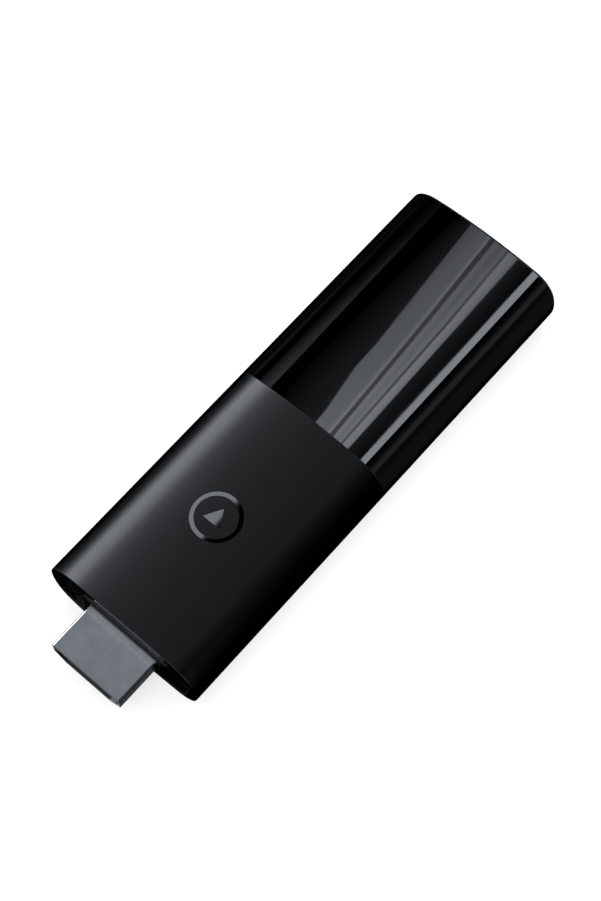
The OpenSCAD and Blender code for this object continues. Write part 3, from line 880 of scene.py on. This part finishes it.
def card(name, rows, pieces):
    """A glowing card that only shows as a reflection on some pieces. Its mesh joins rows of equally
    many points (x, y, z, glow), and the glow runs evenly from point to point."""
    bm = bmesh.new()
    layer = bm.verts.layers.float.new("glow")
    made = []
    for row in rows:
        made.append([bm.verts.new(point[:3]) for point in row])
        for vert, point in zip(made[-1], row):
            vert[layer] = point[3]
    for low, high in zip(made, made[1:]):
        for k in range(len(low) - 1):
            bm.faces.new((low[k], low[k + 1], high[k + 1], high[k]))
    obj = new_object(bm, name)
    obj.data.materials.append(GLOW)
    obj.visible_camera = False
    obj.visible_diffuse = False
    obj.visible_shadow = False
    light_only(obj, pieces)
    obj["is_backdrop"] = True


def band(name, pieces, near, far, near_glow, far_glow=None, z=CARD_Z):
    """A level card between two edges, each a row of (x, y) places. An edge's glow is one number, or
    one for each place, and without a far_glow both edges glow alike."""
    def row(places, glow):
        many = glow if isinstance(glow, tuple) else (glow,) * len(places)
        return [(x, y, z, g) for (x, y), g in zip(places, many)]

    if far_glow is None:
        far_glow = near_glow
    card(name, [row(near, near_glow), row(far, far_glow)], pieces)


def strip(name, pieces, stops, z, reach):
    """A level card whose glow goes through stops of (x, glow), and is even along its reach in y."""
    card(name, [[(x, y, z, glow) for y in reach] for x, glow in stops], pieces)


def wall(name, pieces, stops, x, reach):
    """An upright card beside the stick, whose glow goes through stops of (z, glow)."""
    card(name, [[(x, y, z, glow) for y in reach] for z, glow in stops], pieces)


def band_edge(along, *xs):
    """An edge of a band: one x for each place along the stick."""
    return list(zip(xs, along))


def light_cap():
    """The cap's reflections: a wide, a middle, an inner and a bright band along the stick, with dark
    lines between them, and faint light towards both long sides."""
    pieces = [cap_piece]
    wide_y, line_y = (0.30, 0.345, 0.39, 0.415, 0.56), (0.30, 0.45, 0.56)
    fade_end = band_edge(wide_y, -0.52, -0.52, -0.52, -0.52, -0.50)
    wide_left = band_edge(wide_y, -0.24, -0.258, -0.305, -0.309, -0.40)
    fringe_left = band_edge(wide_y, -0.165, -0.183, -0.201, -0.211, -0.285)
    wide_right = band_edge(wide_y, -0.145, -0.163, -0.181, -0.191, -0.265)
    line_1_left = band_edge(line_y, -0.145, -0.209, -0.265)
    line_1_right = band_edge(line_y, -0.121, -0.183, -0.235)
    middle = band_edge(line_y, -0.100, -0.147, -0.192)
    line_2_left = band_edge(line_y, -0.078, -0.111, -0.150)
    line_2_right = band_edge(line_y, -0.065, -0.096, -0.137)
    inner_right = band_edge(line_y, -0.031, -0.052, -0.069)
    bright_left = band_edge(line_y, 0.050, 0.043, 0.037)
    bright_right = band_edge(line_y, 0.390, 0.345, 0.312)
    band("wide_fade", pieces, fade_end, wide_left, 0.02, (0.24, 0.22, 0.2, 0.2, 0.14))
    band("wide_band", pieces, wide_left, fringe_left,
         (2.7, 2.4, 2.1, 1.9, 1.0), (2.7, 2.45, 2.1, 2.0, 1.6))
    band("fringe", pieces, fringe_left, wide_right,
         (2.9, 2.7, 2.3, 2.2, 1.8), (4.4, 4.2, 3.8, 3.7, 2.6))
    band("first_line", pieces, line_1_left, line_1_right, (1.1, 0.75, 0.55))
    band("middle_band_1", pieces, line_1_right, middle, (4.0, 2.6, 1.6), (3.1, 2.0, 1.3))
    band("middle_band_2", pieces, middle, line_2_left, (3.1, 2.0, 1.3), (4.1, 2.8, 1.8))
    band("second_line", pieces, line_2_left, line_2_right, (1.5, 1.1, 0.9))
    band("inner_band", pieces, line_2_right, inner_right, (4.4, 3.6, 2.6), (3.4, 2.6, 2.0))
    band("dark_fill", pieces, inner_right, bright_left, 0.2, 0.03)
    band("bright_band", pieces, bright_left, bright_right, 4.7)
    band("faint_band", pieces, [(-0.72, 0.36), (-0.70, 0.62)], [(-0.61, 0.36), (-0.64, 0.62)],
         (0.12, 0.02), (0.72, 0.05))
    haze_bend = [(-2.8, 0.95), (-2.8, 1.4)]
    band("left_haze", pieces, [(-5.0, 1.6), (-5.0, 2.4)], haze_bend, (0.05, 0.03), (0.17, 0.05))
    band("left_haze_end", pieces, haze_bend, [(-1.45, 0.55), (-1.45, 0.85)], (0.17, 0.05), 0.0)
    band("side_rise", pieces, [(0.5, 0.25), (0.5, 0.9)], [(1.1, 0.25), (1.1, 0.9)], 0.0, 0.12)
    band("side_band", pieces, [(1.1, 0.3), (1.1, 0.9)], [(2.4, 0.6), (2.4, 1.5)], 0.3)
    low_stops = ((0.9, 0.06), (0.15, 0.045), (-0.25, 0.08), (-1.25, 0.055), (-3.0, 0.024), (-5.0, 0.0))
    wall("low_side", pieces, low_stops, 2.0, (0.4, 3))
    far_stops = ((0.5, 0.0), (0.14, 0.028), (-0.21, 0.03), (-0.57, 0.024), (-0.9, 0.012), (-1.3, 0.003))
    wall("cap_side", pieces, far_stops, -SIDE_CARD_X - LAYER, (0.3, 4))


def light_sleeve():
    """The matt sleeve's reflections: a soft highlight towards the side with the power socket, which
    ends at an edge near the crown's top and goes on faintly over the crown."""
    stops = (
        (-12.0, 0.0), (-4.0, 0.3), (-2.5, 0.75), (-1.73, 1.6), (-1.28, 2.8), (-0.97, 4.0), (-0.75, 4.8),
        (-0.672, 4.9), (-0.642, 0.9), (-0.53, 0.65), (-0.46, 0.5), (-0.37, 0.42), (-0.29, 0.36),
        (-0.14, 0.3), (0.0, 0.24), (0.25, 0.19), (0.4, 0.16), (0.78, 0.09), (1.19, 0.055),
        (1.88, 0.04), (4.0, 0.0)
    )
    strip("sleeve_light", [sleeve_piece], stops, CARD_Z + LAYER, (-0.3, 2.5))
    side_stops = ((0.5, 0.0), (0.14, 0.12), (-0.21, 0.09), (-0.57, 0.035), (-0.9, 0.003), (-1.1, 0.0))
    wall("sleeve_side", [sleeve_piece], side_stops, -SIDE_CARD_X, (0.3, 3))


def light_small_pieces():
    """The reflections on the emblem, the plug and the end plate's collar."""
    strip("emblem_light", [emblem_piece], ((-0.9, 3.9), (-0.28, 3.9)), CARD_Z + 2 * LAYER, (0.2, 2.5))
    edge_glow, top_glow = 8.0, 0.38
    plug_stops = ((-6.0, edge_glow), (-1.2, edge_glow), (-1.19, top_glow), (0.5, top_glow))
    strip("plug_light", [plug_piece], plug_stops, CARD_Z + 3 * LAYER, (-0.4, 2.5))
    strip("plug_under_light", [plug_piece], ((-0.3, 0.3), (0.12, 0.3)), -0.5, (-1.5, 2.5))
    strip("collar_light", [plate_piece], ((-0.7, 0.7), (0.6, 0.7)), CARD_Z + 4 * LAYER, (-1.8, 0.5))
    light_plug_back(top_glow)


def light_plug_back(glow):
    """A small card just before the sleeve's rim, from the plug's top up to the crown, so that the
    plug's top is as bright at its back edge as in front."""
    y = RIM_Y - 0.05 * MM
    across = [2 * MM * k for k in range(-4, 5)]
    low = [(x, y, PLUG_HIGH.z, glow) for x in across]
    high = [(x, y, crown_z(x), glow) for x in across]
    card("plug_back_light", [low, high], [plug_piece])


def panels(name, pieces, layer, share=1.0, top_share=1.0, reach=0.3):
    """Large soft panels all round and overhead, away from where the main view's reflections fall,
    so that the other sides have something to reflect. share and top_share dim the upright and the
    overhead ones, and those beside the stick end at y = reach."""
    away, top = PANEL_AWAY + LAYER * layer, CARD_Z + LAYER * (5 + layer)
    levels = ((-1.5, 0.35), (0.1, 0.5), (0.4, 1.1), (2.0, 0.6))
    stops = [(z, glow * share) for z, glow in levels]
    for side, where in ((-1, "left"), (1, "right")):
        wall(f"{name}_{where}_panel", pieces, stops, side * away, (-3, reach))
    for way, where, half, dim in ((-1, "near", 2.0, 0.9), (1, "far", 3.5, 0.6)):
        rows = [[(x, way * away, z, glow * dim) for x in (-half, half)] for z, glow in stops]
        card(f"{name}_{where}_panel", rows, pieces)
    for where, near_y, far_y, half in (("near_top", -1.2, 0.05, 0.5), ("far_top", 2.5, 0.75, 0.6)):
        near, far = [(-half, near_y), (half, near_y)], [(-half, far_y), (half, far_y)]
        band(f"{name}_{where}_panel", pieces, near, far, 0.8 * top_share, 0.3 * top_share, top)


world()
camera()
bpy.context.scene.view_settings.view_transform = "Standard"
soft_light("floor_light", (0, 0, 1.6), size=3.0, power=83, pieces=[floor()])
soft_light("key", (-0.3, -0.2, 1.3), size=1.4, power=2.0, pieces=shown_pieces())
light_cap()
light_sleeve()
light_small_pieces()
own_panels = (cap_piece, plug_piece, plate_piece)
panels("other", [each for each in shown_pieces() if each not in own_panels], 0)
panels("cap", [cap_piece], 1, reach=0.65)
panels("plug", [plug_piece], 2, share=0.35, top_share=0.12)
panels("plate", [plate_piece], 3, share=0.5, top_share=0.3)
